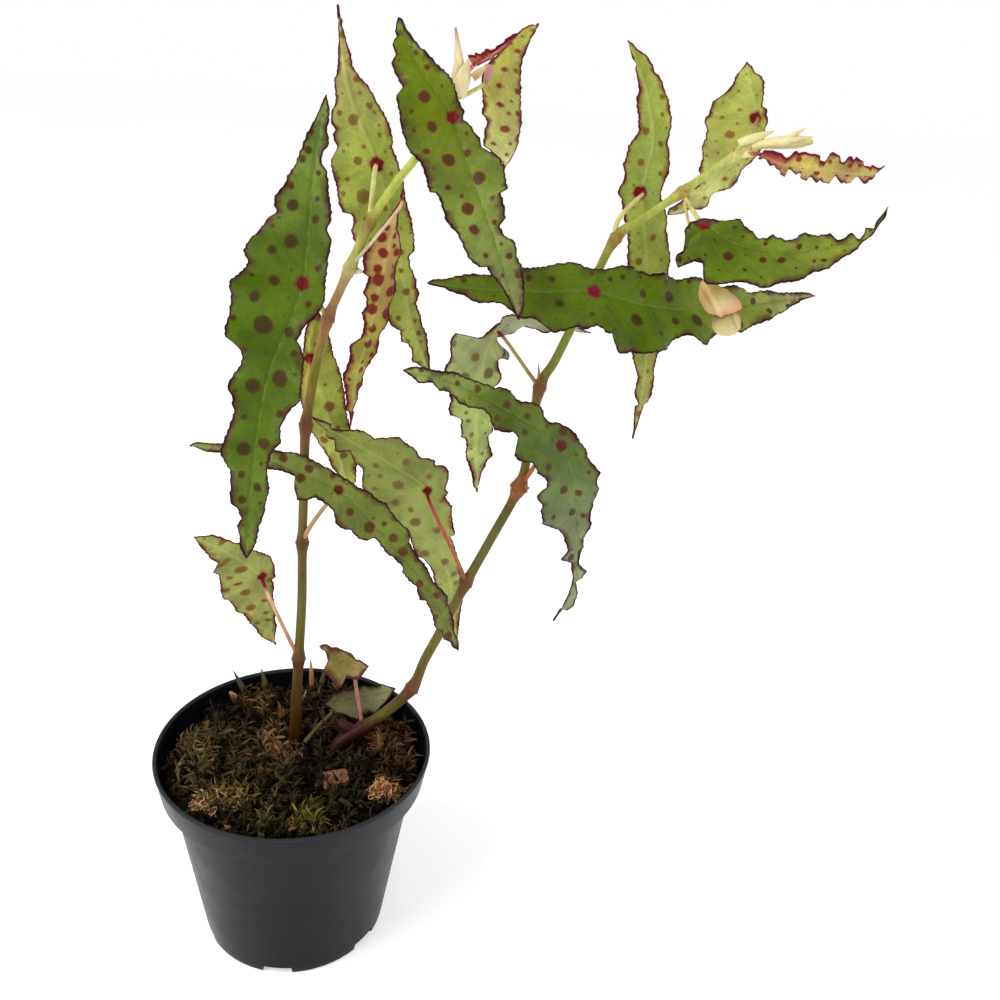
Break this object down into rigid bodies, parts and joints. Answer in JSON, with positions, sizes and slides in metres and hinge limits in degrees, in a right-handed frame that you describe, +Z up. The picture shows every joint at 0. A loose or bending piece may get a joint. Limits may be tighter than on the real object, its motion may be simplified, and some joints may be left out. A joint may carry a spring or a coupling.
{
  "type": "potted begonia",
  "caption": "Begonia with two jointed canes and narrow, spotted, wavy leaves, planted in a plain black nursery pot.",
  "frame": {"origin": "middle of the pot's flat base, on the surface it stands on", "axes": "+Z up; the plant's best side faces -Y; the right cane leans towards +X"},
  "size_m": [0.2767, 0.12, 0.3911],
  "materials": {
    "pot_plastic": "dark charcoal, satin, moulded",
    "soil": "damp dark peat and moss, rough",
    "cane": "olive and red-brown living stem, satin",
    "leaf": "deep green with maroon spots above, pale yellow-green below",
    "young_leaf": "yellow-green with crimson spots and margin",
    "petal": "cream with pink edges, papery",
    "dry_moss": "dry tan moss",
    "bark": "rough orange-brown bark"
  },
  "bodies": {
    "root": {"pot": "pot_plastic", "substrate": "soil", "cane_left": "cane", "cane_right": "cane", "stalk_low": "cane", "leaf_left_hanging": "leaf", "leaf_left_top": "leaf", "leaf_left_tall": "leaf", "leaf_left_young": "young_leaf", "leaf_left_behind": "leaf", "leaf_left_long": "leaf", "leaf_left_low": "leaf", "leaf_left_tip": "young_leaf", "leaf_left_bud": "young_leaf", "leaf_right_stalked": "leaf", "leaf_right_curved": "leaf", "leaf_right_bent": "leaf", "leaf_right_level": "leaf", "leaf_right_tall": "leaf", "leaf_right_drooping": "leaf", "leaf_right_back": "leaf", "leaf_right_ruffled": "young_leaf", "leaf_soil_small": "young_leaf", "leaf_soil_low": "leaf", "flower": "petal", "bract_left": "petal", "bud_right": "petal", "moss_clump_left": "dry_moss", "moss_clump_right": "dry_moss", "bark_chip_front": "bark", "bark_chip_middle": "bark", "bark_chip_back": "bark"}
  },
  "joints": []
}
